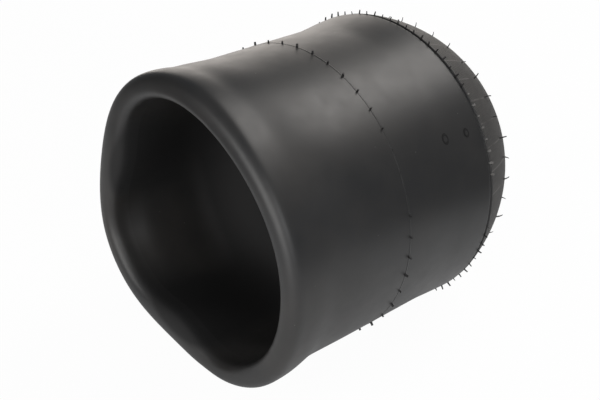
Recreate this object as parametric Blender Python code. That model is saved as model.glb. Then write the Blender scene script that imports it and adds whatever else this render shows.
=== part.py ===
# Rolling-lobe air bellows: a fabric-reinforced rubber sleeve with a steel-cored bead at each end.
# The sleeve lies on its side. Its axis runs along Y, with the open mouth of the rolled lobe at -Y.
# Run it with: blender --background --python part.py

import math

import bmesh
import bpy

# Wall of the sleeve, from the visible side in, in metres
COVER = 0.0014
PLY = 0.0008
LINER = 0.0012
GAP = 0.0003

# Outer wall between the lobe and the ridge
BODY_RADIUS = 0.1435
RIDGE_PROUD = 0.0038
RIDGE_Y = 0.1106
FLARE_LENGTH = 0.054
NECK_Y = -0.080
FADE_LENGTH = 0.075

# Domed end from the ridge to the upper bead, part of an ellipse
DOME_DEPTH = 0.1515
DOME_RISE = 0.1146
DOME_START = math.radians(20.0)
KNEE = 0.007
UPPER_BEAD_RADIUS = 0.086

# Rolled lobe at the mouth
LOBE_Y = -0.1252
LOBE_RADIUS = 0.0118

# Inner leg from the lobe to the lower bead
LEG_LENGTH = 0.077
SHOULDER_DEPTH = 0.060
SHOULDER_END = math.radians(75.0)
LOWER_BEAD_RADIUS = 0.074

# Beads, the same section at both ends
BEAD_WIDTH = 0.014
BEAD_TAPER = 0.005
CORE_HEIGHT = 0.007
CHAFER = 0.0015

# Waves of the rolled rubber: how many round the mouth, their height and the angle of a crest
LOBE_WAVES = (
    (2, 0.0028, math.radians(-42.4)),
    (3, 0.0043, math.radians(-29.9)),
    (4, 0.0026, math.radians(29.2)),
    (5, 0.0008, math.radians(3.9)),
)
DENT_GAIN = 2.2
CREST_GAIN = 0.3
NECK_DEPTH = 0.0062
NECK_ANGLE = math.radians(112.0)
NECK_SPREAD = 0.030
BODY_SHIFT = 0.0019
BODY_SHIFT_ANGLE = math.radians(-46.0)

# How far the lobe flattens where it lies on the floor
REST_SQUASH = 0.0007

# Facets
SEGMENTS = 36
DOME_STEPS = 3
LOBE_STEPS = 6
SHOULDER_STEPS = 2

# Worked out from the sizes above
RIDGE_RADIUS = BODY_RADIUS + RIDGE_PROUD
LAYERS = (("outer_cover", COVER), ("cord_ply_1", PLY), ("cord_ply_2", PLY), ("inner_liner", LINER))
WALL = sum(thickness for _, thickness in LAYERS) + GAP * (len(LAYERS) - 1)
LOBE_CENTRE_RADIUS = BODY_RADIUS - LOBE_RADIUS
LEG_RADIUS = LOBE_CENTRE_RADIUS - LOBE_RADIUS
FLARE_Y = RIDGE_Y - FLARE_LENGTH
FADE_Y = LOBE_Y + FADE_LENGTH
SHOULDER_Y = LOBE_Y + LEG_LENGTH
SHOULDER_RISE = (LEG_RADIUS - LOWER_BEAD_RADIUS - KNEE) / (1.0 - math.cos(SHOULDER_END))
DOME_CENTRE_RADIUS = RIDGE_RADIUS - DOME_RISE * math.cos(DOME_START)
DOME_CENTRE_Y = RIDGE_Y - DOME_DEPTH * math.sin(DOME_START)
DOME_END = math.acos((UPPER_BEAD_RADIUS + KNEE - DOME_CENTRE_RADIUS) / DOME_RISE)
UPPER_SEAT_Y = DOME_CENTRE_Y + DOME_DEPTH * math.sin(DOME_END) + KNEE / 2.0
LOWER_SEAT_Y = SHOULDER_Y + SHOULDER_DEPTH * math.sin(SHOULDER_END) + KNEE / 4.0
BEAD_POCKET = CORE_HEIGHT / 2.0 + GAP
BEAD_HALF_HEIGHT = BEAD_POCKET + CHAFER
MOUTH_Y = LOBE_Y - LOBE_RADIUS
TOP_Y = UPPER_SEAT_Y + BEAD_HALF_HEIGHT - WALL / 2.0
MIDDLE_Y = (MOUTH_Y + TOP_Y) / 2.0


def eased(share):
    share = min(max(share, 0.0), 1.0)
    return share * share * (3.0 - 2.0 * share)


def lobe_wave(angle):
    return sum(height * math.cos(count * (angle - crest)) for count, height, crest in LOBE_WAVES)


def wave(zone, y, angle):
    height = lobe_wave(angle)
    if zone == "lobe":
        return height
    if zone == "wall":
        return height * eased((FADE_Y - y) / FADE_LENGTH)
    if zone == "leg":
        # The turned-in rubber buckles towards the axis, and the outer wall holds back its crests
        rising = eased((y - LOBE_Y) / LEG_LENGTH)
        falling = eased((LOWER_SEAT_Y - y) / (LOWER_SEAT_Y - SHOULDER_Y))
        full_gain = DENT_GAIN if height < 0.0 else CREST_GAIN
        return height * (1.0 + (full_gain - 1.0) * rising) * falling
    return 0.0


def neck_share(zone, y, angle):
    if zone != "wall":
        return 0.0
    round_axis = max(math.cos(angle - NECK_ANGLE), 0.0) ** 2
    along_axis = math.exp(-(((y - NECK_Y) / NECK_SPREAD) ** 2))
    return round_axis * along_axis * eased((y - LOBE_Y) / (NECK_Y - LOBE_Y))


def shift_share(zone, y):
    if zone != "wall":
        return 0.0
    return min(eased((RIDGE_Y - y) / FLARE_LENGTH), eased((y - LOBE_Y) / FADE_LENGTH))


def bulge(zone, y, angle):
    return (
        wave(zone, y, angle)
        - NECK_DEPTH * neck_share(zone, y, angle)
        + BODY_SHIFT * shift_share(zone, y) * math.cos(angle - BODY_SHIFT_ANGLE)
    )


def outer_radius(zone, y):
    if zone == "wall":
        return BODY_RADIUS + RIDGE_PROUD * eased((y - FLARE_Y) / FLARE_LENGTH)
    if zone == "dome":
        rise = min(max((y - DOME_CENTRE_Y) / DOME_DEPTH, -1.0), 1.0)
        return DOME_CENTRE_RADIUS + DOME_RISE * math.cos(math.asin(rise))
    return BODY_RADIUS


def axis_height():
    # The lobe's lowest point, less what its rubber flattens on the floor
    angles = [2.0 * math.pi * step / SEGMENTS for step in range(SEGMENTS)]
    return max(-(BODY_RADIUS + lobe_wave(angle)) * math.sin(angle) for angle in angles) - REST_SQUASH


AXIS_HEIGHT = axis_height()


def floor_lift(zone, y, angle):
    # The floor pushes in every layer of the wall above it by the same amount
    reach = outer_radius(zone, y)
    share = 1.0
    if zone in ("wall", "dome"):
        reach += bulge(zone, y, angle)
    else:
        reach += lobe_wave(angle)
    if zone == "leg":
        share = eased((SHOULDER_Y - y) / LEG_LENGTH)
    return share * max(-reach * math.sin(angle) - AXIS_HEIGHT, 0.0)


def settled(r, y, angle, zone):
    radius = r + bulge(zone, y, angle)
    lift = floor_lift(zone, y, angle)
    return (radius * math.cos(angle), y, radius * math.sin(angle) + lift)


def dome_line():
    points = [(UPPER_BEAD_RADIUS, UPPER_SEAT_Y)]
    for step in range(DOME_STEPS + 1):
        turn = DOME_END + (DOME_START - DOME_END) * step / DOME_STEPS
        radius = DOME_CENTRE_RADIUS + DOME_RISE * math.cos(turn)
        points.append((radius, DOME_CENTRE_Y + DOME_DEPTH * math.sin(turn)))
    return points


def wall_line():
    return [
        (RIDGE_RADIUS, RIDGE_Y),
        (BODY_RADIUS, FLARE_Y),
        (BODY_RADIUS, FADE_Y),
        (BODY_RADIUS, NECK_Y),
        (BODY_RADIUS, LOBE_Y),
    ]


def lobe_line():
    points = []
    for step in range(LOBE_STEPS + 1):
        turn = math.pi * step / LOBE_STEPS
        radius = LOBE_CENTRE_RADIUS + LOBE_RADIUS * math.cos(turn)
        points.append((radius, LOBE_Y - LOBE_RADIUS * math.sin(turn)))
    return points


def leg_line():
    points = [(LEG_RADIUS, LOBE_Y), (LEG_RADIUS, (LOBE_Y + SHOULDER_Y) / 2.0)]
    for step in range(SHOULDER_STEPS + 1):
        turn = SHOULDER_END * step / SHOULDER_STEPS
        radius = LEG_RADIUS - SHOULDER_RISE * (1.0 - math.cos(turn))
        points.append((radius, SHOULDER_Y + SHOULDER_DEPTH * math.sin(turn)))
    points.append((LOWER_BEAD_RADIUS, LOWER_SEAT_Y))
    return points


ZONES = {"dome": dome_line(), "wall": wall_line(), "lobe": lobe_line(), "leg": leg_line()}


def directions(points):
    found = []
    for (r0, y0), (r1, y1) in zip(points, points[1:]):
        length = math.hypot(r1 - r0, y1 - y0)
        found.append(((r1 - r0) / length, (y1 - y0) / length))
    return found


def ways_into(zone):
    # The line's direction just before and just after each station, across the joins between zones
    names = list(ZONES)
    own = directions(ZONES[zone])
    place = names.index(zone)
    before = directions(ZONES[names[place - 1]])[-1] if place > 0 else (-1.0, 0.0)
    after = directions(ZONES[names[place + 1]])[0] if place + 1 < len(names) else (-1.0, 0.0)
    if place == 0:
        before = (1.0, 0.0)
    ways = list(zip([before] + own, own + [after]))
    if place == 0:
        ways[0] = (before, before)
    if place + 1 == len(names):
        ways[-1] = (after, after)
    return ways


def layer_section(zone, near, far):
    # Closed section of one layer, between two depths below the visible surface
    stations = ZONES[zone]
    own = directions(stations)
    near_side = []
    far_side = []
    for index, ((r, y), (before, after)) in enumerate(zip(stations, ways_into(zone))):
        if index == 0:
            r += own[0][0] * GAP / 2.0
            y += own[0][1] * GAP / 2.0
        if index == len(stations) - 1:
            r -= own[-1][0] * GAP / 2.0
            y -= own[-1][1] * GAP / 2.0
        normal = (-before[1] - after[1], before[0] + after[0])
        length = math.hypot(*normal)
        mitre = 2.0 / length
        nr = normal[0] / length * mitre
        ny = normal[1] / length * mitre
        near_side.append((r - near * nr, y - near * ny))
        far_side.append((r - far * nr, y - far * ny))
    return near_side + far_side[::-1]


def bead_sections():
    # Bead sections as (distance towards the axis, distance from the wall's middle) for each piece
    lip = WALL / 2.0
    start = GAP / 2.0
    floor_of_pocket = BEAD_WIDTH - CHAFER
    upper_half = [
        (start, lip - CHAFER),
        (BEAD_TAPER, BEAD_POCKET),
        (floor_of_pocket, BEAD_POCKET),
    ]
    outside = [(start, lip), (BEAD_TAPER, BEAD_HALF_HEIGHT), (BEAD_WIDTH, BEAD_HALF_HEIGHT)]
    chafer = outside + [(a, -d) for a, d in outside[::-1]]
    chafer += [(a, -d) for a, d in upper_half] + upper_half[::-1]
    filler_half = [(start, lip - CHAFER - GAP), (BEAD_TAPER, BEAD_POCKET - GAP)]
    filler = filler_half + [(a, -d) for a, d in filler_half[::-1]]
    core_start = BEAD_TAPER + GAP
    core_end = floor_of_pocket - GAP
    core_shoulder = (core_end - core_start) / 4.0
    core_half = [(core_start + core_shoulder, CORE_HEIGHT / 2.0), (core_end - core_shoulder, CORE_HEIGHT / 2.0)]
    core = [(core_start, 0.0)] + core_half + [(core_end, 0.0)] + [(a, -d) for a, d in core_half[::-1]]
    return {"bead_chafer": chafer, "bead_filler": filler, "bead_core": core}


def material(name, colour, roughness, metallic):
    made = bpy.data.materials.new(name)
    made.use_nodes = True
    shader = made.node_tree.nodes["Principled BSDF"]
    shader.inputs["Base Color"].default_value = (*colour, 1.0)
    shader.inputs["Roughness"].default_value = roughness
    shader.inputs["Metallic"].default_value = metallic
    return made


def finished(mesh, name, body, surface):
    # The mesh becomes one object, placed from the empty that carries it
    for vert in mesh.verts:
        vert.co.y -= MIDDLE_Y + body.location.y
    bmesh.ops.recalc_face_normals(mesh, faces=mesh.faces)
    data = bpy.data.meshes.new(name)
    mesh.to_mesh(data)
    mesh.free()
    data.materials.append(surface)
    data.shade_smooth()
    data.set_sharp_from_angle(angle=math.radians(40.0))
    piece = bpy.data.objects.new(name, data)
    piece.parent = body
    bpy.context.collection.objects.link(piece)
    return piece


def turned(name, section, body, surface):
    # A round piece: its closed section is spun once round the sleeve's axis
    mesh = bmesh.new()
    corners = [mesh.verts.new((r, y, 0.0)) for r, y in section]
    edges = [mesh.edges.new((corners[i - 1], corners[i])) for i in range(len(corners))]
    bmesh.ops.spin(
        mesh,
        geom=corners + edges,
        cent=(0.0, 0.0, 0.0),
        axis=(0.0, 1.0, 0.0),
        angle=2.0 * math.pi,
        steps=SEGMENTS,
        use_merge=True,
        use_duplicate=False,
    )
    return finished(mesh, name, body, surface)


def rolled(name, section, zone, body, surface):
    # A layer of the wall: its section goes round the axis and takes the waves and the flat of its zone.
    # The near and the far side are split along like diagonals, so that neighbouring layers stay parallel.
    mesh = bmesh.new()
    rings = []
    for step in range(SEGMENTS):
        angle = 2.0 * math.pi * step / SEGMENTS
        rings.append([mesh.verts.new(settled(r, y, angle, zone)) for r, y in section])
    last_near = len(section) // 2 - 1
    for step in range(SEGMENTS):
        here = rings[step]
        there = rings[(step + 1) % SEGMENTS]
        for low in range(len(section)):
            high = (low + 1) % len(section)
            if low < last_near:
                mesh.faces.new((here[low], here[high], there[high]))
                mesh.faces.new((here[low], there[high], there[low]))
            else:
                mesh.faces.new((here[low], here[high], there[low]))
                mesh.faces.new((here[high], there[high], there[low]))
    return finished(mesh, name, body, surface)


def moving_body(name, y):
    # An empty on the sleeve's axis, which carries the pieces that move together
    body = bpy.data.objects.new(name, None)
    body.location = (0.0, y - MIDDLE_Y, AXIS_HEIGHT)
    bpy.context.collection.objects.link(body)
    return body


def wall_layers(bodies, surfaces):
    carried_by = {"dome": "upper", "wall": "upper", "lobe": "lobe", "leg": "lobe"}
    near = 0.0
    for layer, thickness in LAYERS:
        for zone in ZONES:
            section = layer_section(zone, near, near + thickness)
            rolled(f"{layer}_{zone}", section, zone, bodies[carried_by[zone]], surfaces[layer])
        near += thickness + GAP


def beads(bodies, surfaces):
    seats = {"upper": (UPPER_BEAD_RADIUS, UPPER_SEAT_Y, -1.0), "lower": (LOWER_BEAD_RADIUS, LOWER_SEAT_Y, 1.0)}
    for end, (radius, seat_y, inwards) in seats.items():
        middle = seat_y + inwards * WALL / 2.0
        for piece, outline in bead_sections().items():
            section = [(radius - a, middle - inwards * d) for a, d in outline]
            turned(f"{end}_{piece}", section, bodies[end], surfaces[piece])


def main():
    for item in list(bpy.data.objects):
        bpy.data.objects.remove(item)
    surfaces = {
        "outer_cover": material("cover rubber", (0.022, 0.022, 0.024), 0.42, 0.0),
        "cord_ply_1": material("cord ply, right hand", (0.110, 0.085, 0.055), 0.85, 0.0),
        "cord_ply_2": material("cord ply, left hand", (0.085, 0.068, 0.045), 0.85, 0.0),
        "inner_liner": material("liner rubber", (0.030, 0.029, 0.029), 0.60, 0.0),
        "bead_chafer": material("chafer fabric", (0.035, 0.034, 0.033), 0.75, 0.0),
        "bead_filler": material("filler rubber", (0.045, 0.043, 0.042), 0.70, 0.0),
        "bead_core": material("bead wire", (0.520, 0.480, 0.400), 0.35, 1.0),
    }
    bodies = {
        "upper": moving_body("upper_body", UPPER_SEAT_Y),
        "lobe": moving_body("lobe_body", LOBE_Y),
        "lower": moving_body("lower_body", LOWER_SEAT_Y),
    }
    wall_layers(bodies, surfaces)
    beads(bodies, surfaces)


main()
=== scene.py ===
import math
import random

import bpy
from mathutils import Matrix, Vector


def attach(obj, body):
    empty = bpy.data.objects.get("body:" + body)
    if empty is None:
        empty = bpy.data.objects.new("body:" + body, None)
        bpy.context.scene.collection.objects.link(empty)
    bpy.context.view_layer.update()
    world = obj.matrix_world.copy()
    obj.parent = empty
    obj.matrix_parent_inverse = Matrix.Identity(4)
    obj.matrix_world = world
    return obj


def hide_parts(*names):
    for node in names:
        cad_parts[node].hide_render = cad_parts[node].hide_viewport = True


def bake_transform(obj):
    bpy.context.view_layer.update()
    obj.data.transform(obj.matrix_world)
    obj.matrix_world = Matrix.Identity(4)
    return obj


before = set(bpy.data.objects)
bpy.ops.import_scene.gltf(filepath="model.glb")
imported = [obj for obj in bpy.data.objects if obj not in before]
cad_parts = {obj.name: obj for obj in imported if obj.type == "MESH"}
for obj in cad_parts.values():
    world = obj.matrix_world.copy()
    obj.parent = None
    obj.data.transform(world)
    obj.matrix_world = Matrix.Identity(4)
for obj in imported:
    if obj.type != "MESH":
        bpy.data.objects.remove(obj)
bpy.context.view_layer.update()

print("frame loaded:", len(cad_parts), "nodes")

# All sizes are metres and all angles degrees, round the axis from the right side over the top.
# The sleeve's axis runs along Y at this height above the floor.
axisHeight = 0.13863

sleeve = {
    "bodyRadius": 0.1435,
    "ridgeProud": 0.0038,
    "ridgeY": 0.07956,
    "flareLength": 0.054,
    "domeDepth": 0.1515,
    "domeRise": 0.1146,
    "domeStart": 20.0,        # turn on the dome's ellipse at the ridge
    "domeEnd": 62.2,          # and at the upper bead
    "domeSteps": (57.0, 51.0, 45.0, 39.0, 33.0, 28.0, 24.0, 21.6),
    "domeSlope": 0.275,       # how fast the dome falls just behind the ridge
    "upperBeadRadius": 0.086,
    "upperBeadY": 0.16529,
    "lipShare": 0.35,         # place of the ring between the dome's end and the upper bead
    "lipRise": 0.0006,
    "lobeY": -0.15624,
    "lobeRadius": 0.0118,
    "lobeSquare": 0.84,       # below 1 the roll's section is squarer than a circle
    "lobeSteps": 10,
    "shoulderY": -0.07924,
    "shoulderDepth": 0.060,
    "shoulderSteps": (0.0, 12.0, 24.0, 35.0, 45.0, 54.0, 62.0, 69.0),
    "shoulderEnd": 75.0,
    "knee": 0.007,            # the shoulder rounds off onto the lower bead
    "kneeShare": 0.45,
    "kneeStep": 0.0004,
    "lowerBeadRadius": 0.074,
    "lowerBeadY": -0.01954,
    "legStart": -0.1515,
    "seamY": -0.146,          # where the leg that rolls is parted from the rest
    "legPlaces": (-0.138, -0.128, -0.116, -0.104, -0.092),
    # places of the wall's rings, behind and before the mould line round the middle of the body
    "farPlaces": (0.0655, 0.056, 0.044, 0.033, 0.020, 0.006, -0.008, -0.020),
    "nearPlaces": (-0.042, -0.056, -0.070, -0.083, -0.096, -0.109, -0.121, -0.133, -0.143, -0.1505),
    "partingY": -0.03104,
    "partingHeight": 0.00016,
    # step from the mould line, share of its height
    "partingSteps": [
        (0.0022, 0.0), (0.0009, 0.0), (0.0004, 1.0), (-0.0004, 1.0), (-0.0009, 0.0), (-0.0022, 0.0),
    ],
    # the body rounds off into a groove before the dome: step from the ridge, share of the depth
    "creaseSteps": [
        (0.0026, 0.0), (0.0017, 0.15), (0.0010, 0.85), (0.0002, 1.0), (-0.0006, 0.86),
        (-0.0014, 0.34), (-0.0024, 0.08), (-0.0042, 0.0),
    ],
    "creaseDepth": 0.0021,
    "creaseReach": 0.022,     # the layers beneath pass under the groove within this distance
    "columns": 48,
    "fitTurns": 6,            # how often the cage is corrected
    "coverLevels": 2,         # rounds of subdivision of the outer cover
    "layerLevels": 1,         # and of the layers beneath
    "smoothAngle": 40.0,
}

# waves of the rolled rubber: how many round the mouth, height, angle of a crest
waves = [(2, 0.0028, -42.4), (3, 0.0043, -29.9), (4, 0.0026, 29.2), (5, 0.0008, 3.9)]

# a local push is a height, an angle and a width
folds = {
    "fadeLength": 0.075,      # how far the waves reach along the outer wall
    "presses": [(-0.0005, 108.0, 20.0)],      # on the whole roll
    "leans": [(0.0055, 82.0, 32.0)],          # how far the roll's inner edge stands forward
    "leanReach": 0.030,
    "buckles": [                              # on the leg alone
        (-0.0095, 161.0, 19.0), (-0.0085, 254.0, 19.0), (0.0035, 197.0, 13.0), (0.0035, 287.0, 13.0),
    ],
    "buckleReach": 0.085,
    "crestGain": 0.3,
    "crestFade": 0.035,
    # depth, angle, place and spread along the axis of each hollow behind the roll
    "necks": [(0.0011, 100.0, -0.134, 0.016), (0.0024, -46.0, -0.118, 0.022)],
    "shift": 0.0012,          # the body's middle lies a little to one side
    "shiftAngle": -46.0,
    "barrel": 0.0006,
}

# the layers from the outside in: frame name, depth of its near side, thickness
layers = [
    ("outer_cover", 0.0, 0.0014),
    ("cord_ply_1", 0.0017, 0.0008),
    ("cord_ply_2", 0.0028, 0.0008),
    ("inner_liner", 0.0039, 0.0012),
]


def eased(share):
    share = min(max(share, 0.0), 1.0)
    return share * share * (3.0 - 2.0 * share)


def localPush(pushes, angle):
    total = 0.0
    for high, way, width in pushes:
        apart = (math.degrees(angle) - way + 180.0) % 360.0 - 180.0
        total += high * math.exp(-(apart / width) ** 2)
    return total


def lobeWave(angle):
    wave = sum(high * math.cos(count * (angle - math.radians(crest))) for count, high, crest in waves)
    return wave + localPush(folds["presses"], angle)


def wallRadius(y):
    start = sleeve["ridgeY"] - sleeve["flareLength"]
    return sleeve["bodyRadius"] + sleeve["ridgeProud"] * eased((y - start) / sleeve["flareLength"])


def wallBulge(y, angle):
    lobeY = sleeve["lobeY"]
    fadeY = lobeY + folds["fadeLength"]
    wave = lobeWave(angle) * eased((fadeY - y) / folds["fadeLength"])
    neck = 0.0
    for deep, way, neckY, spread in folds["necks"]:
        roundNeck = max(math.cos(angle - math.radians(way)), 0.0) ** 2
        sunk = deep * roundNeck * math.exp(-((y - neckY) / spread) ** 2)
        neck += sunk * eased((y - lobeY) / (neckY - lobeY))
    fromRidge = eased((sleeve["ridgeY"] - y) / sleeve["flareLength"])
    fromLobe = eased((y - lobeY) / folds["fadeLength"])
    aside = folds["shift"] * math.cos(angle - math.radians(folds["shiftAngle"]))
    moved = min(fromRidge, fromLobe) * (folds["barrel"] + aside)
    return wave - neck + moved


def legBulge(y, angle):
    # The turned-in leg buckles further in than the rim, and its crests fade so that it clears the wall
    high = lobeWave(angle)
    deep = y - sleeve["lobeY"]
    falling = eased((sleeve["lowerBeadY"] - y) / (sleeve["lowerBeadY"] - sleeve["shoulderY"]))
    if high > 0.0:
        high *= 1.0 + (folds["crestGain"] - 1.0) * eased(deep / folds["crestFade"])
    buckle = localPush(folds["buckles"], angle)
    if buckle > 0.0:
        buckle *= 1.0 - eased(deep / folds["crestFade"])
    else:
        buckle *= 1.0 - eased(deep / folds["buckleReach"])
    return high * falling + buckle


def surfacePoint(zone, y, radius, angle):
    # A point of the outer surface, with the waves of its zone and the flat that lies on the floor
    share = 1.0
    bulge = 0.0
    reach = radius
    forward = localPush(folds["leans"], angle)
    place = y
    if zone == "wall":
        bulge = wallBulge(y, angle)
        reach = radius + bulge
        place = y + forward * 0.5 * (1.0 - eased((y - sleeve["lobeY"]) / folds["leanReach"]))
    elif zone == "lobe":
        # the roll takes the wall's wave outside and the leg's wave inside
        inner = (sleeve["bodyRadius"] - radius) / (2.0 * sleeve["lobeRadius"])
        bulge = lobeWave(angle) * (1.0 - inner) + legBulge(sleeve["lobeY"], angle) * inner
        reach = sleeve["bodyRadius"] + lobeWave(angle)
        place = y - forward * (inner - 0.5)
    elif zone == "leg":
        bulge = legBulge(y, angle)
        reach = sleeve["bodyRadius"] + lobeWave(angle)
        share = eased((sleeve["shoulderY"] - y) / (sleeve["shoulderY"] - sleeve["lobeY"]))
        place = y - forward * 0.5 * (1.0 - eased((y - sleeve["lobeY"]) / folds["leanReach"]))
    lift = share * max(-reach * math.sin(angle) - axisHeight, 0.0)
    out = radius + bulge
    return Vector((out * math.cos(angle), place, out * math.sin(angle) + lift + axisHeight))


def domePoint(degrees):
    turn = math.radians(degrees)
    start = math.radians(sleeve["domeStart"])
    centreRadius = sleeve["bodyRadius"] + sleeve["ridgeProud"] - sleeve["domeRise"] * math.cos(start)
    centreY = sleeve["ridgeY"] - sleeve["domeDepth"] * math.sin(start)
    return centreY + sleeve["domeDepth"] * math.sin(turn), centreRadius + sleeve["domeRise"] * math.cos(turn)


def domeRings():
    # A ring is its zone, its place along the axis and its radius
    rings = [("dome", sleeve["upperBeadY"], sleeve["upperBeadRadius"])]
    endY, endRadius = domePoint(sleeve["domeEnd"])
    lip = sleeve["lipShare"]
    lipY = sleeve["upperBeadY"] * lip + endY * (1.0 - lip) + sleeve["lipRise"]
    rings.append(("dome", lipY, (sleeve["upperBeadRadius"] + endRadius) / 2.0))
    for degrees in (sleeve["domeEnd"],) + sleeve["domeSteps"]:
        y, radius = domePoint(degrees)
        rings.append(("dome", y, radius))
    return rings


def wallRings(detailed):
    # Only the outer cover has the groove and the mould line
    ridgeY = sleeve["ridgeY"]
    ridgeRadius = sleeve["bodyRadius"] + sleeve["ridgeProud"]
    rings = []
    if detailed:
        for step, sunk in sleeve["creaseSteps"]:
            radius = ridgeRadius - max(step, 0.0) * sleeve["domeSlope"]
            rings.append(("wall", ridgeY + step, radius - sunk * sleeve["creaseDepth"]))
    else:
        rings.append(("wall", ridgeY, ridgeRadius))
    for y in sleeve["farPlaces"]:
        rings.append(("wall", y, wallRadius(y)))
    if detailed:
        for step, raised in sleeve["partingSteps"]:
            y = sleeve["partingY"] + step
            rings.append(("wall", y, wallRadius(y) + raised * sleeve["partingHeight"]))
    for y in sleeve["nearPlaces"]:
        rings.append(("wall", y, wallRadius(y)))
    return rings


def lobeRings():
    centre = sleeve["bodyRadius"] - sleeve["lobeRadius"]
    last = sleeve["lobeSteps"]
    rings = []
    for step in range(last + 1):
        turn = math.pi * step / last
        across = math.copysign(abs(math.cos(turn)) ** sleeve["lobeSquare"], math.cos(turn))
        forward = abs(math.sin(turn)) ** sleeve["lobeSquare"] if 0 < step < last else 0.0
        y = sleeve["lobeY"] - sleeve["lobeRadius"] * forward
        rings.append(("lobe", y, centre + sleeve["lobeRadius"] * across))
    return rings


def legRings():
    # The leg runs straight in from the roll, and its shoulder leads round to the lower bead
    legRadius = sleeve["bodyRadius"] - sleeve["lobeRadius"] - sleeve["lobeRadius"]
    beadRadius = sleeve["lowerBeadRadius"]
    knee = sleeve["knee"]
    rings = []
    for y in (sleeve["legStart"], sleeve["seamY"]) + sleeve["legPlaces"]:
        rings.append(("leg", y, legRadius))
    endTurn = math.radians(sleeve["shoulderEnd"])
    rise = (legRadius - beadRadius - knee) / (1.0 - math.cos(endTurn))
    for degrees in sleeve["shoulderSteps"] + (sleeve["shoulderEnd"],):
        turn = math.radians(degrees)
        y = sleeve["shoulderY"] + sleeve["shoulderDepth"] * math.sin(turn)
        rings.append(("leg", y, legRadius - rise * (1.0 - math.cos(turn))))
    beadY = sleeve["lowerBeadY"]
    rings.append(("leg", beadY - sleeve["kneeStep"], beadRadius + knee * sleeve["kneeShare"]))
    rings.append(("leg", beadY, beadRadius))
    return rings


def sleeveRings(detailed):
    # From the upper bead over the ridge and round the lobe to the lower bead
    rings = domeRings() + wallRings(detailed) + lobeRings() + legRings()
    if detailed:
        return rings
    lowered = []
    for zone, y, radius in rings:
        under = 1.0 - eased(abs(y - sleeve["ridgeY"]) / sleeve["creaseReach"])
        lowered.append((zone, y, radius - sleeve["creaseDepth"] * under))
    return lowered


def deselectAll():
    if bpy.context.object and bpy.context.object.mode != "OBJECT":
        bpy.ops.object.mode_set(mode="OBJECT")
    bpy.ops.object.select_all(action="DESELECT")


def pickOnly(piece):
    deselectAll()
    piece.select_set(True)
    bpy.context.view_layer.objects.active = piece


def joinPieces(pieces, name):
    deselectAll()
    for piece in pieces:
        piece.select_set(True)
    bpy.context.view_layer.objects.active = pieces[0]
    bpy.ops.object.join()
    joined = bpy.context.object
    joined.name = name
    bpy.ops.object.transform_apply(location=True, rotation=True, scale=True)
    return joined


def applyModifier(piece, kind, **settings):
    pickOnly(piece)
    modifier = piece.modifiers.new(kind.title(), kind)
    for name, value in settings.items():
        setattr(modifier, name, value)
    bpy.ops.object.modifier_apply(modifier=modifier.name)


def drawTube(name, rings, columns):
    # A circle is drawn out ring by ring along the axis
    deselectAll()
    lastY, lastRadius = rings[0]
    bpy.ops.mesh.primitive_circle_add(
        vertices=columns, radius=lastRadius,
        location=(0.0, lastY, axisHeight), rotation=(math.pi / 2.0, 0.0, 0.0)
    )
    tube = bpy.context.object
    tube.name = name
    bpy.ops.object.mode_set(mode="EDIT")
    bpy.ops.mesh.select_mode(type="EDGE")
    bpy.ops.mesh.select_all(action="SELECT")
    for y, radius in rings[1:]:
        bpy.ops.mesh.extrude_region_move(TRANSFORM_OT_translate={"value": (0.0, y - lastY, 0.0)})
        scale = radius / lastRadius
        bpy.ops.transform.resize(value=(scale, 1.0, scale), center_override=(0.0, y, axisHeight))
        lastY, lastRadius = y, radius
    bpy.ops.mesh.select_all(action="SELECT")
    bpy.ops.mesh.normals_make_consistent(inside=False)
    bpy.ops.object.mode_set(mode="OBJECT")
    bpy.ops.object.transform_apply(location=True, rotation=True, scale=True)
    return tube


def smoothedPoint(grid, ring, column):
    # Where the subdivided surface passes nearest this point of the cage
    columns = len(grid[0])

    def across(row):
        before, here, after = grid[row][column - 1], grid[row][column], grid[row][(column + 1) % columns]
        return (before + here * 4.0 + after) / 6.0

    if ring in (0, len(grid) - 1):
        return across(ring)
    return (across(ring - 1) + across(ring) * 4.0 + across(ring + 1)) / 6.0


def shapeTube(tube, rings):
    # Every point of the cage goes to its place, and is then pulled out
    # until the smoothed surface passes through that place
    columns = sleeve["columns"]
    vertices = tube.data.vertices
    order = []
    for ring, (zone, y, radius) in enumerate(rings):
        row = range(ring * columns, (ring + 1) * columns)
        angles = {i: math.atan2(vertices[i].co.z - axisHeight, vertices[i].co.x) for i in row}
        order.append(sorted(row, key=angles.get))
        for i in row:
            vertices[i].co = surfacePoint(zone, y, radius, angles[i])
    wanted = [[vertices[i].co.copy() for i in row] for row in order]
    grid = [[point.copy() for point in row] for row in wanted]
    for turn in range(sleeve["fitTurns"]):
        missing = [
            [wanted[ring][column] - smoothedPoint(grid, ring, column) for column in range(columns)]
            for ring in range(len(rings))
        ]
        for row, steps in zip(grid, missing):
            for column, step in enumerate(steps):
                row[column] += step
    for row, places in zip(order, grid):
        for i, place in zip(row, places):
            vertices[i].co = place


def partLeg(tube, name):
    # The faces marked 1 become the leg, an object of its own
    pickOnly(tube)
    bpy.ops.object.mode_set(mode="EDIT")
    bpy.ops.mesh.select_mode(type="FACE")
    bpy.ops.mesh.select_all(action="DESELECT")
    bpy.ops.object.mode_set(mode="OBJECT")
    for face in tube.data.polygons:
        face.select = face.material_index == 1
        face.material_index = 0
    bpy.ops.object.mode_set(mode="EDIT")
    bpy.ops.mesh.separate(type="SELECTED")
    bpy.ops.object.mode_set(mode="OBJECT")
    leg = [piece for piece in bpy.context.selected_objects if piece is not tube][0]
    leg.name = name
    return leg


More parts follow.
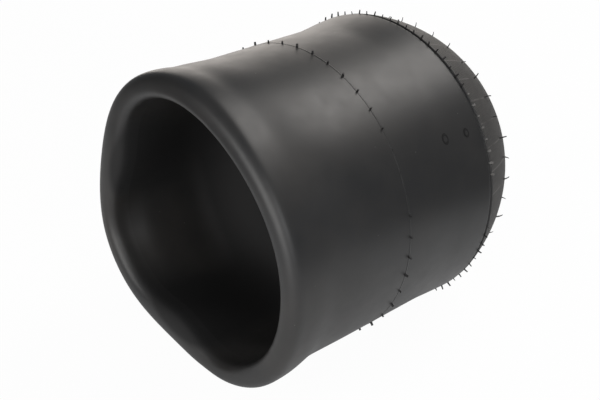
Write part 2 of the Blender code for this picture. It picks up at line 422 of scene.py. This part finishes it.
def makeLayer(name, depth, thickness):
    # The tube is smoothed, sunk to its layer's depth, parted at the seam and given its thickness
    detailed = depth == 0.0
    rings = sleeveRings(detailed)
    tube = drawTube(name, [(y, radius) for zone, y, radius in rings], sleeve["columns"])
    shapeTube(tube, rings)
    # two empty slots carry the leg's mark through the subdivision
    seamRing = [y for zone, y, radius in rings].index(sleeve["seamY"])
    for face in tube.data.polygons:
        rolls = min(i // sleeve["columns"] for i in face.vertices) >= seamRing
        face.material_index = 1 if rolls else 0
    tube.data.materials.append(None)
    tube.data.materials.append(None)
    levels = sleeve["coverLevels"] if detailed else sleeve["layerLevels"]
    applyModifier(tube, "SUBSURF", levels=levels, render_levels=levels)
    if depth > 0.0:
        pickOnly(tube)
        bpy.ops.object.mode_set(mode="EDIT")
        bpy.ops.mesh.select_all(action="SELECT")
        bpy.ops.transform.shrink_fatten(value=-depth)
        bpy.ops.object.mode_set(mode="OBJECT")
    leg = partLeg(tube, name + "_leg")
    for part in (tube, leg):
        part.data.materials.clear()
        for face in part.data.polygons:
            face.material_index = 0
        applyModifier(part, "SOLIDIFY", thickness=thickness, offset=-1.0)
        pickOnly(part)
        bpy.ops.object.shade_smooth_by_angle(angle=math.radians(sleeve["smoothAngle"]))
    return tube, leg


print("making the layers of the sleeve")
made = {}
for layerName, depth, thickness in layers:
    made[layerName] = makeLayer(layerName + "_skin", depth, thickness)


def joinCopies(name, model, places):
    # Each place is a matrix for one copy of the model
    copies = []
    for place in places:
        piece = model.copy()
        piece.data = model.data.copy()
        bpy.context.collection.objects.link(piece)
        piece.matrix_world = place
        copies.append(piece)
    bpy.data.objects.remove(model)
    return joinPieces(copies, name)


def standOn(point, direction, turn, size):
    # Places a small piece, modelled upright, on a point of the surface
    upright = direction.normalized().to_track_quat("Z", "Y").to_matrix().to_4x4()
    standing = Matrix.Translation(point) @ upright
    return standing @ Matrix.Rotation(turn, 4, "Z") @ Matrix.Diagonal((size, size, size, 1.0))


thread = {
    "sides": 6,
    "taper": 0.86,
    "smoothAngle": 50.0,
    "turns": (0.0, 6.0),      # each thread is turned by chance, radians
}


def makeHair(name, radius, length, lean, steps):
    # A thread of rubber from a vent of the mould, drawn up in steps and bent a little
    deselectAll()
    bpy.ops.mesh.primitive_circle_add(
        vertices=thread["sides"], radius=radius, fill_type="NGON", location=(0.0, 0.0, -radius)
    )
    hair = bpy.context.object
    hair.name = name
    bpy.ops.object.mode_set(mode="EDIT")
    bpy.ops.mesh.select_all(action="SELECT")
    rise = (length + radius) / steps
    for step in range(steps):
        aside = lean * (step + 0.5) / steps
        bpy.ops.mesh.extrude_region_move(TRANSFORM_OT_translate={"value": (aside, 0.0, rise)})
        centre = (lean * (step + 1) ** 2 / (2.0 * steps), 0.0, -radius + rise * (step + 1))
        bpy.ops.transform.resize(value=(thread["taper"], thread["taper"], 1.0), center_override=centre)
    bpy.ops.mesh.select_all(action="SELECT")
    bpy.ops.mesh.normals_make_consistent(inside=False)
    bpy.ops.object.mode_set(mode="OBJECT")
    bpy.ops.object.transform_apply(location=True, rotation=True, scale=True)
    bpy.ops.object.shade_smooth_by_angle(angle=math.radians(thread["smoothAngle"]))
    return hair


nub = {
    "seed": 8,
    "steps": 2,
    "pitch": 8.0,
    "start": 2.3,
    "radius": 0.00125,
    "length": 0.0031,
    "lean": 0.0002,
    "tilts": (-0.15, 0.15),
    "sizes": (0.8, 1.1),
    "worn": (12.0, 36.0),     # between these angles the nubs are rubbed short
    "wornSize": 0.4,
    "lowest": 0.006,          # none stands below this height, where the wall lies on the floor
}


def makeNubs():
    model = makeHair("nub_model", nub["radius"], nub["length"], nub["lean"], nub["steps"])
    rng = random.Random(nub["seed"])
    places = []
    for step in range(int(360.0 / nub["pitch"])):
        angle = math.radians(nub["start"] + step * nub["pitch"])
        y = sleeve["partingY"]
        point = surfacePoint("wall", y, wallRadius(y), angle)
        if point.z < nub["lowest"]:
            continue
        outward = Vector((math.cos(angle), rng.uniform(*nub["tilts"]), math.sin(angle)))
        worn = nub["worn"][0] < math.degrees(angle) < nub["worn"][1]
        turn = rng.uniform(*thread["turns"])
        size = nub["wornSize"] if worn else rng.uniform(*nub["sizes"])
        places.append(standOn(point, outward, turn, size))
    return joinCopies("parting_line_nubs", model, places)


ridgeHair = {
    "seed": 21,
    "steps": 3,
    "pitch": 4.0,
    "start": 2.0,
    "radius": 0.00085,
    "length": 0.00372,
    "lean": 0.0004,
    "behind": 0.0006,         # from the ridge towards the dome
    "root": 0.0004,           # how deep in the rubber a thread begins
    "tilts": (-0.1, 0.35),
    "sizes": (0.65, 1.3),
    "torn": (-10.0, 44.0),    # between these angles the threads are torn off
    "lowest": 0.008,
}


def makeRidgeHairs():
    model = makeHair(
        "ridge_hair_model", ridgeHair["radius"], ridgeHair["length"], ridgeHair["lean"], ridgeHair["steps"]
    )
    rng = random.Random(ridgeHair["seed"])
    places = []
    for step in range(int(360.0 / ridgeHair["pitch"])):
        angle = math.radians(ridgeHair["start"] + step * ridgeHair["pitch"])
        y = sleeve["ridgeY"] + ridgeHair["behind"]
        point = surfacePoint("wall", y, wallRadius(y) - ridgeHair["root"], angle)
        if point.z < ridgeHair["lowest"]:
            continue
        outward = Vector((math.cos(angle), rng.uniform(*ridgeHair["tilts"]), math.sin(angle)))
        turn = rng.uniform(*thread["turns"])
        size = rng.uniform(*ridgeHair["sizes"])
        degrees = (math.degrees(angle) + 180.0) % 360.0 - 180.0
        if ridgeHair["torn"][0] < degrees < ridgeHair["torn"][1]:
            continue
        places.append(standOn(point, outward, turn, size))
    return joinCopies("ridge_vent_hairs", model, places)


stub = {
    "seed": 5,
    "steps": 2,
    "pitch": 4.4,
    "start": 11.6,
    "count": 8,
    "radius": 0.0014,
    "length": 0.00182,
    "lean": 0.0001,
    "behind": 0.0026,
    "root": 0.0008,
    "tilts": (0.0, 0.3),
    "sizes": (0.7, 1.15),
}


def makeRidgeStubs():
    # On the right the torn threads leave pale stubs
    model = makeHair("ridge_stub_model", stub["radius"], stub["length"], stub["lean"], stub["steps"])
    rng = random.Random(stub["seed"])
    places = []
    for step in range(stub["count"]):
        angle = math.radians(stub["start"] + step * stub["pitch"])
        y = sleeve["ridgeY"] + stub["behind"]
        point = surfacePoint("wall", y, wallRadius(y) - stub["root"], angle)
        outward = Vector((math.cos(angle), rng.uniform(*stub["tilts"]), math.sin(angle)))
        turn = rng.uniform(*thread["turns"])
        places.append(standOn(point, outward, turn, rng.uniform(*stub["sizes"])))
    return joinCopies("ridge_vent_stubs", model, places)


domeHair = {
    "seed": 33,
    "steps": 4,
    "pitch": 9.0,
    "start": 3.5,
    "degrees": 35.5,          # turn on the dome's ellipse
    "strays": (-1.2, 1.2),    # by chance to the side
    "rises": (-1.0, 1.0),     # and along the dome
    "radius": 0.00085,
    "length": 0.0060,
    "lean": 0.0012,
    "root": 0.0002,
    "outward": 0.62,          # the threads stand outwards and backwards
    "backward": 0.78,
    "tilts": (-0.15, 0.1),
    "sizes": (0.7, 1.1),
    "lowest": 0.010,
}


def makeDomeHairs():
    model = makeHair(
        "dome_hair_model", domeHair["radius"], domeHair["length"], domeHair["lean"], domeHair["steps"]
    )
    rng = random.Random(domeHair["seed"])
    places = []
    for step in range(int(360.0 / domeHair["pitch"])):
        stray = rng.uniform(*domeHair["strays"])
        angle = math.radians(domeHair["start"] + step * domeHair["pitch"] + stray)
        y, radius = domePoint(domeHair["degrees"] + rng.uniform(*domeHair["rises"]))
        point = surfacePoint("dome", y, radius - domeHair["root"], angle)
        if point.z < domeHair["lowest"]:
            continue
        back = domeHair["backward"] + rng.uniform(*domeHair["tilts"])
        out = domeHair["outward"]
        direction = Vector((math.cos(angle) * out, back, math.sin(angle) * out))
        turn = rng.uniform(*thread["turns"])
        places.append(standOn(point, direction, turn, rng.uniform(*domeHair["sizes"])))
    return joinCopies("dome_vent_hairs", model, places)


pin = {
    "marks": [(30.6, 0.0337, 0.0036), (29.8, 0.0600, 0.0029)],   # angle, place, radius
    "tube": 0.0011,           # half the thickness of a ring
    "segments": (24, 8),
    "stretch": (0.85, 1.15, 0.22),
    "smoothAngle": 60.0,
}


def makePinMarks():
    # Low rings that the mould's pins left near the ridge
    rings = []
    for angle, y, across in pin["marks"]:
        deselectAll()
        turn = math.radians(angle)
        point = surfacePoint("wall", y, wallRadius(y), turn)
        bpy.ops.mesh.primitive_torus_add(
            major_radius=across, minor_radius=pin["tube"], major_segments=pin["segments"][0],
            minor_segments=pin["segments"][1], location=(0.0, 0.0, 0.0)
        )
        ring = bpy.context.object
        ring.scale = pin["stretch"]
        bpy.ops.object.transform_apply(location=False, rotation=False, scale=True)
        ring.matrix_world = standOn(point, Vector((math.cos(turn), 0.0, math.sin(turn))), 0.0, 1.0)
        rings.append(ring)
    marks = joinPieces(rings, "mould_pin_marks")
    bpy.ops.object.shade_smooth_by_angle(angle=math.radians(pin["smoothAngle"]))
    return marks


print("making the vent hairs")
nubs = makeNubs()
pinMarks = makePinMarks()
ridgeHairs = makeRidgeHairs()
ridgeStubs = makeRidgeStubs()
domeHairs = makeDomeHairs()

bead = {
    "height": 0.0106,
    "width": 0.014,
    "taper": 0.005,
    "wall": 0.0051,           # thickness of the sleeve's wall, which the strip meets
    "gap": 0.00015,           # between the strip and the wall
    "wrap": 0.0015,
    "round": 0.0006,
    "roundSteps": 3,
    "roundAngle": 30.0,
    "columns": 96,
    "weld": 0.00001,
    "smoothAngle": 40.0,
}


def makeChafer(name, radius, seatY):
    # The strip round the bead: a closed section is drawn round it ring by ring, then rounded
    half = bead["height"] / 2.0
    lip = bead["wall"] / 2.0
    gap = bead["gap"]
    taper = bead["taper"]
    pocket = half - bead["wrap"]
    floorOfPocket = bead["width"] - bead["wrap"]
    outline = [
        (gap, lip), (taper, half), (bead["width"], half), (bead["width"], -half),
        (taper, -half), (gap, -lip), (gap, -(lip - bead["wrap"])),
        (taper, -pocket), (floorOfPocket, -pocket), (floorOfPocket, pocket),
        (taper, pocket), (gap, lip - bead["wrap"]), (gap, lip),
    ]
    rings = [(seatY + off, radius - deep) for deep, off in outline]
    ring = drawTube(name, rings, bead["columns"])
    pickOnly(ring)
    bpy.ops.object.mode_set(mode="EDIT")
    bpy.ops.mesh.select_all(action="SELECT")
    bpy.ops.mesh.remove_doubles(threshold=bead["weld"])
    bpy.ops.mesh.normals_make_consistent(inside=False)
    bpy.ops.object.mode_set(mode="OBJECT")
    applyModifier(
        ring, "BEVEL", width=bead["round"], segments=bead["roundSteps"],
        limit_method="ANGLE", angle_limit=math.radians(bead["roundAngle"])
    )
    pickOnly(ring)
    bpy.ops.object.shade_smooth_by_angle(angle=math.radians(bead["smoothAngle"]))
    return ring


print("making the bead strips")
halfWall = bead["wall"] / 2.0
upperChafer = makeChafer("upper_bead_strip", sleeve["upperBeadRadius"], sleeve["upperBeadY"] - halfWall)
lowerChafer = makeChafer("lower_bead_strip", sleeve["lowerBeadRadius"], sleeve["lowerBeadY"] + halfWall)


# The materials are built from a few small helpers

def newMaterial(name):
    material = bpy.data.materials.new(name)
    material.use_nodes = True
    tree = material.node_tree
    return material, tree.nodes, tree.links, tree.nodes["Principled BSDF"]


def addTexture(nodes, links, kind, settings, coord=None):
    # A texture reads the Object coordinates, where they are given
    node = nodes.new(kind)
    for name, value in settings.items():
        node.inputs[name].default_value = value
    if coord:
        links.new(coord.outputs["Object"], node.inputs["Vector"])
    return node


def mathNode(nodes, links, operation, first, second=None):
    # first and second are sockets or plain numbers
    node = nodes.new("ShaderNodeMath")
    node.operation = operation
    for socket, value in zip(node.inputs, (first, second)):
        if isinstance(value, (int, float)):
            socket.default_value = value
        elif value is not None:
            links.new(value, socket)
    return node.outputs["Value"]


def fadeNode(nodes, links, value, start, end):
    node = nodes.new("ShaderNodeMapRange")
    node.interpolation_type = "SMOOTHSTEP"
    node.inputs["From Min"].default_value = start
    node.inputs["From Max"].default_value = end
    links.new(value, node.inputs["Value"])
    return node.outputs["Result"]


def toneRamp(nodes, links, value, ends, dark, light):
    ramp = nodes.new("ShaderNodeValToRGB")
    for element, place, tone in zip(ramp.color_ramp.elements, ends, (dark, light)):
        element.position = place
        element.color = tone
    links.new(value, ramp.inputs["Fac"])
    return ramp.outputs["Color"]


# The Mix node's sockets are picked by number, because several of them share a name

def mixColour(nodes, links, share, first, second):
    node = nodes.new("ShaderNodeMix")
    node.data_type = "RGBA"
    links.new(share, node.inputs[0])
    links.new(first, node.inputs[6])
    if isinstance(second, tuple):
        node.inputs[7].default_value = second
    else:
        links.new(second, node.inputs[7])
    return node.outputs[2]


def mixValue(nodes, links, share, first, second):
    node = nodes.new("ShaderNodeMix")
    links.new(share, node.inputs[0])
    links.new(first, node.inputs[2])
    node.inputs[3].default_value = second
    return node.outputs[0]


def addBump(nodes, links, shader, height, strength, distance):
    bump = nodes.new("ShaderNodeBump")
    bump.inputs["Strength"].default_value = strength
    bump.inputs["Distance"].default_value = distance
    links.new(height, bump.inputs["Height"])
    links.new(bump.outputs["Normal"], shader.inputs["Normal"])


rubber = {
    "dark": (0.0150, 0.0148, 0.0150, 1.0),
    "bloom": (0.030, 0.0275, 0.0255, 1.0),
    "broad": {"Scale": 9.0, "Detail": 4.0, "Roughness": 0.55},    # noise of the bloom
    "broadEnds": (0.38, 0.78),
    "roughness": 0.43,
    "roughSpread": (-0.06, 0.08),
    "fine": {"Scale": 60.0, "Detail": 6.0, "Roughness": 0.6},     # noise of the roughness
    "grain": {"Scale": 1400.0, "Detail": 2.0},
    "grainHeight": 0.00001,
    "bumpStrength": 0.6,
    "bumpHeight": 1.0,                # the relief is in metres already
    # painted shade: the darker tone of the rubber inside the mouth
    "inside": (0.0045, 0.0042, 0.0043, 1.0),
    "insideRoughness": 0.78,
    "insideSpecular": 0.40,
    "shadeAndDullRadius": (0.122, 0.114),   # the painted shade and the duller rubber inside the mouth begin between these radii
    "shadeAndDullY": (0.02, 0.0),           # and fades in between these places along the axis
    "specks": {"Scale": 55.0},
    "speckReach": (0.035, 0.015),
    "speckTone": (0.10, 0.098, 0.094, 1.0),
}

dome = {
    "begins": (0.001, 0.0035),        # behind the ridge
    "low": (0.020, 0.019, 0.018, 1.0),
    "high": (0.066, 0.061, 0.057, 1.0),
    "toneEnds": (0.1, 0.9),
    "roughness": 0.66,
    "threadsRound": 150.0,
    "threadsAlong": 2300.0,
    "threadWave": 1.3,
    "weaveHeight": 0.00022,
    "weaveTone": 0.42,
    "worn": {"Scale": 35.0, "Detail": 5.0, "Roughness": 0.65},
    "line": (0.105, 0.099, 0.094, 1.0),
    "lineEnds": (0.352, 0.132),       # angle from a hair at which its mould line fades
    "linePatches": (0.42, 0.55),
}


def domeWeave(nodes, links, along, angle):
    # The print of the fabric: threads round the dome, a little wavy
    around = mathNode(nodes, links, "SINE", mathNode(nodes, links, "MULTIPLY", angle, dome["threadsRound"]))
    swing = mathNode(nodes, links, "MULTIPLY", around, dome["threadWave"])
    lengthwise = mathNode(nodes, links, "MULTIPLY", along, dome["threadsAlong"])
    return mathNode(nodes, links, "SINE", mathNode(nodes, links, "ADD", lengthwise, swing))


def domeTone(nodes, links, coord, weave, angle):
    # Dusty rubber with a thin line of the mould at every hair
    worn = addTexture(nodes, links, "ShaderNodeTexNoise", dome["worn"], coord)
    weaveShare = mathNode(nodes, links, "MULTIPLY", weave, dome["weaveTone"])
    wornWeave = mathNode(nodes, links, "ADD", weaveShare, worn.outputs["Fac"])
    dusty = toneRamp(nodes, links, wornWeave, dome["toneEnds"], dome["low"], dome["high"])
    degrees = mathNode(nodes, links, "MULTIPLY", angle, 180.0 / math.pi)
    fromHair = mathNode(nodes, links, "SUBTRACT", degrees, domeHair["start"])
    away = mathNode(nodes, links, "PINGPONG", fromHair, domeHair["pitch"] / 2.0)
    line = fadeNode(nodes, links, away, *dome["lineEnds"])
    patchy = fadeNode(nodes, links, worn.outputs["Fac"], *dome["linePatches"])
    lineShare = mathNode(nodes, links, "MULTIPLY", line, patchy)
    return mixColour(nodes, links, lineShare, dusty, dome["line"])


def rubberMaterial(name, hasDome):
    material, nodes, links, shader = newMaterial(name)
    coord = nodes.new("ShaderNodeTexCoord")
    place = nodes.new("ShaderNodeSeparateXYZ")
    links.new(coord.outputs["Object"], place.inputs["Vector"])
    along = place.outputs["Y"]
    height = mathNode(nodes, links, "SUBTRACT", place.outputs["Z"], axisHeight)
    heightSquared = mathNode(nodes, links, "POWER", height, 2.0)
    asideSquared = mathNode(nodes, links, "POWER", place.outputs["X"], 2.0)
    radius = mathNode(nodes, links, "SQRT", mathNode(nodes, links, "ADD", heightSquared, asideSquared))

    broad = addTexture(nodes, links, "ShaderNodeTexNoise", rubber["broad"], coord)
    bloom = broad.outputs["Fac"]
    bloomed = toneRamp(nodes, links, bloom, rubber["broadEnds"], rubber["dark"], rubber["bloom"])
    fine = addTexture(nodes, links, "ShaderNodeTexNoise", rubber["fine"], coord)
    rough = nodes.new("ShaderNodeMapRange")
    rough.inputs["To Min"].default_value = rubber["roughness"] + rubber["roughSpread"][0]
    rough.inputs["To Max"].default_value = rubber["roughness"] + rubber["roughSpread"][1]
    links.new(fine.outputs["Fac"], rough.inputs["Value"])

    # a few light specks of dust
    specks = addTexture(nodes, links, "ShaderNodeTexVoronoi", rubber["specks"], coord)
    speck = fadeNode(nodes, links, specks.outputs["Distance"], *rubber["speckReach"])
    dusted = mixColour(nodes, links, speck, bloomed, rubber["speckTone"])

    # inside the mouth the dusty tone gives way to a darker one, which is painted shade, and the rubber is
    # duller
    inside = fadeNode(nodes, links, radius, *rubber["shadeAndDullRadius"])
    if hasDome:
        before = fadeNode(nodes, links, along, *rubber["shadeAndDullY"])
        inside = mathNode(nodes, links, "MULTIPLY", inside, before)
    tone = mixColour(nodes, links, inside, dusted, rubber["inside"])
    dull = mixValue(nodes, links, inside, rough.outputs["Result"], rubber["insideRoughness"])

    grain = addTexture(nodes, links, "ShaderNodeTexNoise", rubber["grain"], coord)
    relief = mathNode(nodes, links, "MULTIPLY", grain.outputs["Fac"], rubber["grainHeight"])
    if hasDome:
        ridgeY = sleeve["ridgeY"]
        onDome = fadeNode(nodes, links, along, ridgeY + dome["begins"][0], ridgeY + dome["begins"][1])
        angle = mathNode(nodes, links, "ARCTAN2", height, place.outputs["X"])
        weave = domeWeave(nodes, links, along, angle)
        tone = mixColour(nodes, links, onDome, tone, domeTone(nodes, links, coord, weave, angle))
        dull = mixValue(nodes, links, onDome, dull, dome["roughness"])
        printed = mathNode(nodes, links, "MULTIPLY", weave, onDome)
        threads = mathNode(nodes, links, "MULTIPLY", printed, dome["weaveHeight"])
        relief = mathNode(nodes, links, "ADD", threads, relief)
    else:
        shader.inputs["Specular IOR Level"].default_value = rubber["insideSpecular"]
    links.new(tone, shader.inputs["Base Color"])
    links.new(dull, shader.inputs["Roughness"])
    addBump(nodes, links, shader, relief, rubber["bumpStrength"], rubber["bumpHeight"])
    return material


plain = {
    "detail": 5.0,
    "fineness": 0.6,
    "toneEnds": (0.3, 0.75),
    "bumpStrength": 0.3,
    "bumpHeight": 0.0001,
    # for each material its dark and light tone, roughness and scale of the noise
    "torn_rubber": ((0.11, 0.105, 0.10, 1.0), (0.19, 0.184, 0.178, 1.0), 0.7, 300.0),
    "pin_print": ((0.002, 0.002, 0.002, 1.0), (0.004, 0.004, 0.004, 1.0), 0.95, 90.0),
    "hair_rubber": ((0.006, 0.006, 0.006, 1.0), (0.016, 0.015, 0.015, 1.0), 0.55, 90.0),
    "liner_rubber": ((0.02, 0.019, 0.019, 1.0), (0.035, 0.034, 0.033, 1.0), 0.6, 40.0),
    "filler_rubber": ((0.035, 0.033, 0.032, 1.0), (0.05, 0.048, 0.046, 1.0), 0.55, 80.0),
    "black_felt": ((0.004, 0.004, 0.004, 1.0), (0.012, 0.012, 0.012, 1.0), 0.9, 60.0),
}


def plainRubber(name):
    dark, light, roughness, scale = plain[name]
    material, nodes, links, shader = newMaterial(name)
    coord = nodes.new("ShaderNodeTexCoord")
    settings = {"Scale": scale, "Detail": plain["detail"], "Roughness": plain["fineness"]}
    noise = addTexture(nodes, links, "ShaderNodeTexNoise", settings, coord)
    tone = toneRamp(nodes, links, noise.outputs["Fac"], plain["toneEnds"], dark, light)
    links.new(tone, shader.inputs["Base Color"])
    shader.inputs["Roughness"].default_value = roughness
    addBump(nodes, links, shader, noise.outputs["Fac"], plain["bumpStrength"], plain["bumpHeight"])
    return material


strands = {
    "detail": 2.0,
    "distortion": 1.2,
    "toneEnds": (0.2, 0.8),
    "bumpStrength": 0.5,
    "bumpHeight": 0.0002,
    # for each material its dark and light tone, roughness, scale and direction of the strands
    "cord_fabric": ((0.05, 0.038, 0.025, 1.0), (0.13, 0.10, 0.065, 1.0), 0.8, 260.0, "DIAGONAL"),
    "bead_strip": ((0.016, 0.016, 0.016, 1.0), (0.034, 0.034, 0.033, 1.0), 0.65, 320.0, "DIAGONAL"),
    "bronzed_wire": ((0.30, 0.21, 0.12, 1.0), (0.52, 0.40, 0.24, 1.0), 0.35, 300.0, "Y"),
}


def threadMaterial(name, metallic):
    # Cords or wires laid side by side, a little uneven
    dark, light, roughness, scale, direction = strands[name]
    material, nodes, links, shader = newMaterial(name)
    coord = nodes.new("ShaderNodeTexCoord")
    settings = {"Scale": scale, "Distortion": strands["distortion"], "Detail": strands["detail"]}
    threads = addTexture(nodes, links, "ShaderNodeTexWave", settings, coord)
    threads.bands_direction = direction
    tone = toneRamp(nodes, links, threads.outputs["Fac"], strands["toneEnds"], dark, light)
    links.new(tone, shader.inputs["Base Color"])
    shader.inputs["Roughness"].default_value = roughness
    shader.inputs["Metallic"].default_value = metallic
    addBump(nodes, links, shader, threads.outputs["Fac"], strands["bumpStrength"], strands["bumpHeight"])
    return material


print("making the materials")
coverRubber = rubberMaterial("moulded_rubber", True)
legRubber = rubberMaterial("rolled_in_rubber", False)
stubRubber = plainRubber("torn_rubber")
pinRubber = plainRubber("pin_print")
hairRubber = plainRubber("hair_rubber")
linerRubber = plainRubber("liner_rubber")
fillerRubber = plainRubber("filler_rubber")
felt = plainRubber("black_felt")
cordFabric = threadMaterial("cord_fabric", 0.0)
stripRubber = threadMaterial("bead_strip", 0.0)
wireMetal = threadMaterial("bronzed_wire", 1.0)

surfaces = {
    "outer_cover": (coverRubber, "cover_rubber"),
    "cord_ply_1": (cordFabric, "cord_ply"),
    "cord_ply_2": (cordFabric, "cord_ply"),
    "inner_liner": (linerRubber, "liner_rubber"),
}

print("fastening the pieces to their bodies")
for layerName, (skin, leg) in made.items():
    material, slotName = surfaces[layerName]
    skin.data.materials.append(material)
    leg.data.materials.append(legRubber if material is coverRubber else material)
    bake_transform(skin)
    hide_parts(layerName + "_dome", layerName + "_wall", layerName + "_lobe")
    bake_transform(leg)
    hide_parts(layerName + "_leg")

for marks, material in ((nubs, hairRubber), (pinMarks, pinRubber)):
    marks.data.materials.append(material)
    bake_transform(marks)
for hairs, material in ((ridgeHairs, hairRubber), (domeHairs, hairRubber), (ridgeStubs, stubRubber)):
    hairs.data.materials.append(material)
    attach(hairs, "upper_body")

for strip, bodyName, nodeName in (
    (upperChafer, "upper_body", "upper_bead_chafer"),
    (lowerChafer, "lower_body", "lower_bead_chafer"),
):
    strip.data.materials.append(stripRubber)
    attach(strip, bodyName)
    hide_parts(nodeName)

for nodeName, material in (
    ("upper_bead_core", wireMetal), ("lower_bead_core", wireMetal),
    ("upper_bead_filler", fillerRubber), ("lower_bead_filler", fillerRubber),
):
    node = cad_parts[nodeName]
    for place in node.material_slots:
        place.material = material


print("building the set")
studio = {
    "floorSize": 9.0,
    "floorCells": 8,
    "floorPlace": (0.0, 0.0, -0.0006),
    "floorColour": (0.84, 0.86, 0.88, 1.0),
    "floorLight": (0.88, 0.88, 0.88, 1.0),
    "floorNoise": {"Scale": 3.0, "Detail": 3.0},
    "floorEnds": (0.0, 1.0),
    "floorGlow": 0.97,        # as the camera sees it
    "floorShine": 0.36,       # and as reflections see it
    "worldColour": (0.86, 0.93, 1.0, 1.0),
    "worldLevel": 0.20,
}


def floorMaterial():
    material, nodes, links, shader = newMaterial("studio_floor")
    nodes.remove(shader)
    output = nodes["Material Output"]
    matt = nodes.new("ShaderNodeBsdfDiffuse")
    noise = addTexture(nodes, links, "ShaderNodeTexNoise", studio["floorNoise"])
    cloudy = noise.outputs["Fac"]
    tint = toneRamp(nodes, links, cloudy, studio["floorEnds"], studio["floorColour"], studio["floorLight"])
    links.new(tint, matt.inputs["Color"])
    glow = nodes.new("ShaderNodeEmission")
    rays = nodes.new("ShaderNodeLightPath").outputs
    seen = mathNode(nodes, links, "MULTIPLY", rays["Is Camera Ray"], studio["floorGlow"])
    clear = mathNode(nodes, links, "MAXIMUM", rays["Is Glossy Ray"], rays["Is Transmission Ray"])
    shine = mathNode(nodes, links, "MULTIPLY", clear, studio["floorShine"])
    mix = nodes.new("ShaderNodeMixShader")
    links.new(mathNode(nodes, links, "ADD", shine, seen), mix.inputs["Fac"])
    links.new(matt.outputs["BSDF"], mix.inputs[1])
    links.new(glow.outputs["Emission"], mix.inputs[2])
    links.new(mix.outputs["Shader"], output.inputs["Surface"])
    return material


deselectAll()
bpy.ops.mesh.primitive_grid_add(
    x_subdivisions=studio["floorCells"], y_subdivisions=studio["floorCells"],
    size=studio["floorSize"], location=studio["floorPlace"]
)
floor = bpy.context.object
floor.name = "studio_floor"
bpy.ops.object.transform_apply(location=True, rotation=True, scale=True)
floor.data.materials.append(floorMaterial())

world = bpy.data.worlds.new("studio_world")
bpy.context.scene.world = world
world.use_nodes = True
background = world.node_tree.nodes["Background"]
background.inputs["Color"].default_value = studio["worldColour"]
background.inputs["Strength"].default_value = studio["worldLevel"]

lamps = [
    # name, place, aimed at, size, watts, colour
    ("top_softbox", (0.20, 0.98, 1.52), (0.0, 0.0, 0.15), (0.95, 0.75), 15.0, (1.0, 0.965, 0.93)),
    ("right_softbox", (1.35, -0.50, 0.78), (0.0, -0.12, 0.15), (1.0, 0.9), 7.0, (1.0, 1.0, 1.0)),
    ("back_card", (-1.6, 1.5, 0.55), (0.0, 0.0, 0.15), (2.2, 1.35), 21.0, (1.0, 0.925, 0.855)),
    ("front_softbox", (0.30, -1.40, 0.42), (0.0, -0.16, 0.14), (1.5, 0.9), 15.0, (1.0, 0.985, 0.97)),
]


def addLamp(name, place, aim, size, watts, colour):
    deselectAll()
    bpy.ops.object.light_add(type="AREA", location=place)
    lamp = bpy.context.object
    lamp.name = name
    lamp.rotation_euler = (Vector(aim) - Vector(place)).to_track_quat("-Z", "Y").to_euler()
    lamp.data.shape = "RECTANGLE"
    lamp.data.size, lamp.data.size_y = size
    lamp.data.energy = watts
    lamp.data.color = colour


for lamp in lamps:
    addLamp(*lamp)

blackCards = {
    "size": 1.2,
    # place, and turn round the three axes
    "standing_card": ((-0.95, -0.72, 0.60), (90.0, 0.0, 130.0)),
    "lying_card": ((-0.80, -1.02, 0.001), (0.0, 0.0, 0.0)),
    "right_card": ((0.95, 0.88, 0.001), (0.0, 0.0, 0.0)),
}


def makeBlackCard(name):
    # Keeps the white studio out of the rubber's reflections, unseen by the camera
    place, turns = blackCards[name]
    deselectAll()
    bpy.ops.mesh.primitive_plane_add(
        size=blackCards["size"], location=place, rotation=[math.radians(turn) for turn in turns]
    )
    card = bpy.context.object
    card.name = name
    bpy.ops.object.transform_apply(location=True, rotation=True, scale=True)
    card.data.materials.append(felt)
    card.visible_camera = False


for cardName in ("standing_card", "lying_card", "right_card"):
    makeBlackCard(cardName)

camera = {
    "place": (0.6906, -0.6730, 0.6118),
    "right": (0.682415, 0.730965, 0.0),
    "up": (-0.334399, 0.312189, 0.889222),
    "lens": 65.65,            # millimetres, as the sensor's width
    "sensor": 36.0,
}

deselectAll()
bpy.ops.object.camera_add(location=camera["place"])
cam = bpy.context.object
cam.name = "photo_camera"
rightWay = Vector(camera["right"]).normalized()
upWay = Vector(camera["up"]).normalized()
backWay = rightWay.cross(upWay).normalized()
turned = Matrix((rightWay, upWay, backWay)).transposed().to_4x4()
cam.matrix_world = Matrix.Translation(camera["place"]) @ turned
cam.data.lens = camera["lens"]
cam.data.sensor_width = camera["sensor"]
cam.data.dof.use_dof = False
bpy.context.scene.camera = cam
bpy.context.scene.view_settings.view_transform = "Standard"

print("scene ready")
